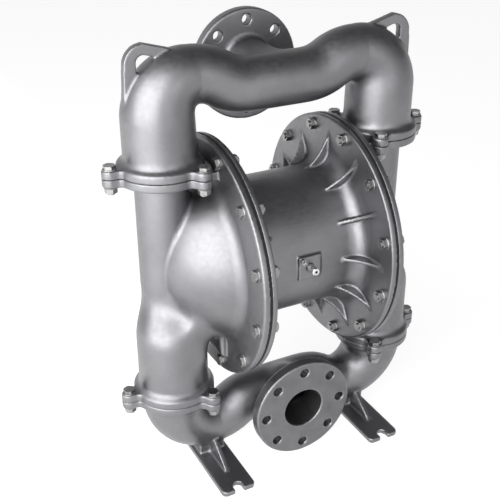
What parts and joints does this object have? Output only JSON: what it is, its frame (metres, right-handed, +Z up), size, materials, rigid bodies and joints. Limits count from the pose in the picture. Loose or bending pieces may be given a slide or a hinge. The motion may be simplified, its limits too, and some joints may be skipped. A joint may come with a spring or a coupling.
{
  "type": "air operated double diaphragm pump",
  "caption": "Air operated diaphragm pump: a ribbed centre body between two domed fluid covers with side columns, an upper and a lower manifold with flanged ports, cast feet and lifting eyes.",
  "frame": {"origin": "floor level, straight below the point where the diaphragm axis crosses the pump's middle plane", "axes": "+X along the diaphragm rod towards the right fluid cover, -Y towards the suction port, +Z up"},
  "size_m": [0.646, 0.438, 0.811],
  "materials": {
    "casting": "sand cast, shot blasted and clear sealed, satin",
    "diaphragm_rubber": "moulded black rubber, matte",
    "ball_rubber": "moulded solid rubber, matte",
    "plated_steel": "zinc plated, satin bright",
    "ground_steel": "turned and ground",
    "plate_metal": "turned and plated",
    "seat_steel": "turned stainless",
    "bush_bronze": "turned bronze",
    "muffler_plastic": "moulded black plastic, matte",
    "bright_steel": "bright plated"
  },
  "bodies": {
    "pump_body": {"centre_body": "casting", "discharge_manifold": "casting", "suction_manifold": "casting", "air_valve_block": "casting", "fluid_cover_left": "casting", "fluid_cover_right": "casting", "valve_end_cap_left": "casting", "valve_end_cap_right": "casting", "diaphragm_left": "diaphragm_rubber", "diaphragm_right": "diaphragm_rubber", "rod_seal_left": "diaphragm_rubber", "rod_seal_right": "diaphragm_rubber", "inlet_seat_seal_left": "diaphragm_rubber", "inlet_seat_seal_right": "diaphragm_rubber", "outlet_seat_seal_left": "diaphragm_rubber", "outlet_seat_seal_right": "diaphragm_rubber", "air_valve_gasket": "diaphragm_rubber", "rim_bolts_left": "plated_steel", "rim_bolts_right": "plated_steel", "rim_nuts_left": "plated_steel", "rim_nuts_right": "plated_steel", "lower_joint_bolts_left": "plated_steel", "lower_joint_bolts_right": "plated_steel", "lower_joint_nuts_left": "plated_steel", "lower_joint_nuts_right": "plated_steel", "upper_joint_bolts_left": "plated_steel", "upper_joint_bolts_right": "plated_steel", "upper_joint_nuts_left": "plated_steel", "upper_joint_nuts_right": "plated_steel", "end_cap_screws": "plated_steel", "air_valve_screws": "plated_steel", "front_pad_screw": "plated_steel", "inlet_seat_left": "seat_steel", "inlet_seat_right": "seat_steel", "outlet_seat_left": "seat_steel", "outlet_seat_right": "seat_steel", "rod_bush_left": "bush_bronze", "rod_bush_right": "bush_bronze", "pilot_bush_left": "bush_bronze", "pilot_bush_right": "bush_bronze", "exhaust_muffler": "muffler_plastic", "front_air_nipple": "bright_steel"},
    "rod_assembly": {"diaphragm_rod": "ground_steel", "inner_plate_left": "plate_metal", "inner_plate_right": "plate_metal", "outer_plate_left": "plate_metal", "outer_plate_right": "plate_metal", "plate_nut_left": "ground_steel", "plate_nut_right": "ground_steel"},
    "spool": {"valve_spool": "ground_steel"},
    "pilot": {"pilot_pin": "ground_steel"},
    "inlet_ball_left_body": {"inlet_ball_left": "ball_rubber"},
    "inlet_ball_right_body": {"inlet_ball_right": "ball_rubber"},
    "outlet_ball_left_body": {"outlet_ball_left": "ball_rubber"},
    "outlet_ball_right_body": {"outlet_ball_right": "ball_rubber"}
  },
  "joints": [
    {"name": "rod_slide", "type": "slide", "parent": "pump_body", "child": "rod_assembly", "axis": [1, 0, 0], "range_m": [-0.026, 0.026], "deforming": ["diaphragm_left", "diaphragm_right"]},
    {"name": "pilot_slide", "type": "slide", "parent": "pump_body", "child": "pilot", "axis": [1, 0, 0], "range_m": [-0.005, 0.005]},
    {"name": "spool_slide", "type": "slide", "parent": "pump_body", "child": "spool", "axis": [1, 0, 0], "range_m": [-0.008, 0.008]},
    {"name": "inlet_ball_left_lift", "type": "slide", "parent": "pump_body", "child": "inlet_ball_left_body", "axis": [0, 0, 1], "range_m": [0, 0.02]},
    {"name": "inlet_ball_right_lift", "type": "slide", "parent": "pump_body", "child": "inlet_ball_right_body", "axis": [0, 0, 1], "range_m": [0, 0.02]},
    {"name": "outlet_ball_left_lift", "type": "slide", "parent": "pump_body", "child": "outlet_ball_left_body", "axis": [0, 0, 1], "range_m": [0, 0.02]},
    {"name": "outlet_ball_right_lift", "type": "slide", "parent": "pump_body", "child": "outlet_ball_right_body", "axis": [0, 0, 1], "range_m": [0, 0.02]}
  ],
  "couplings": [
    {"joint": "pilot_slide", "follows": "rod_slide", "ratio": 0.1923}
  ]
}
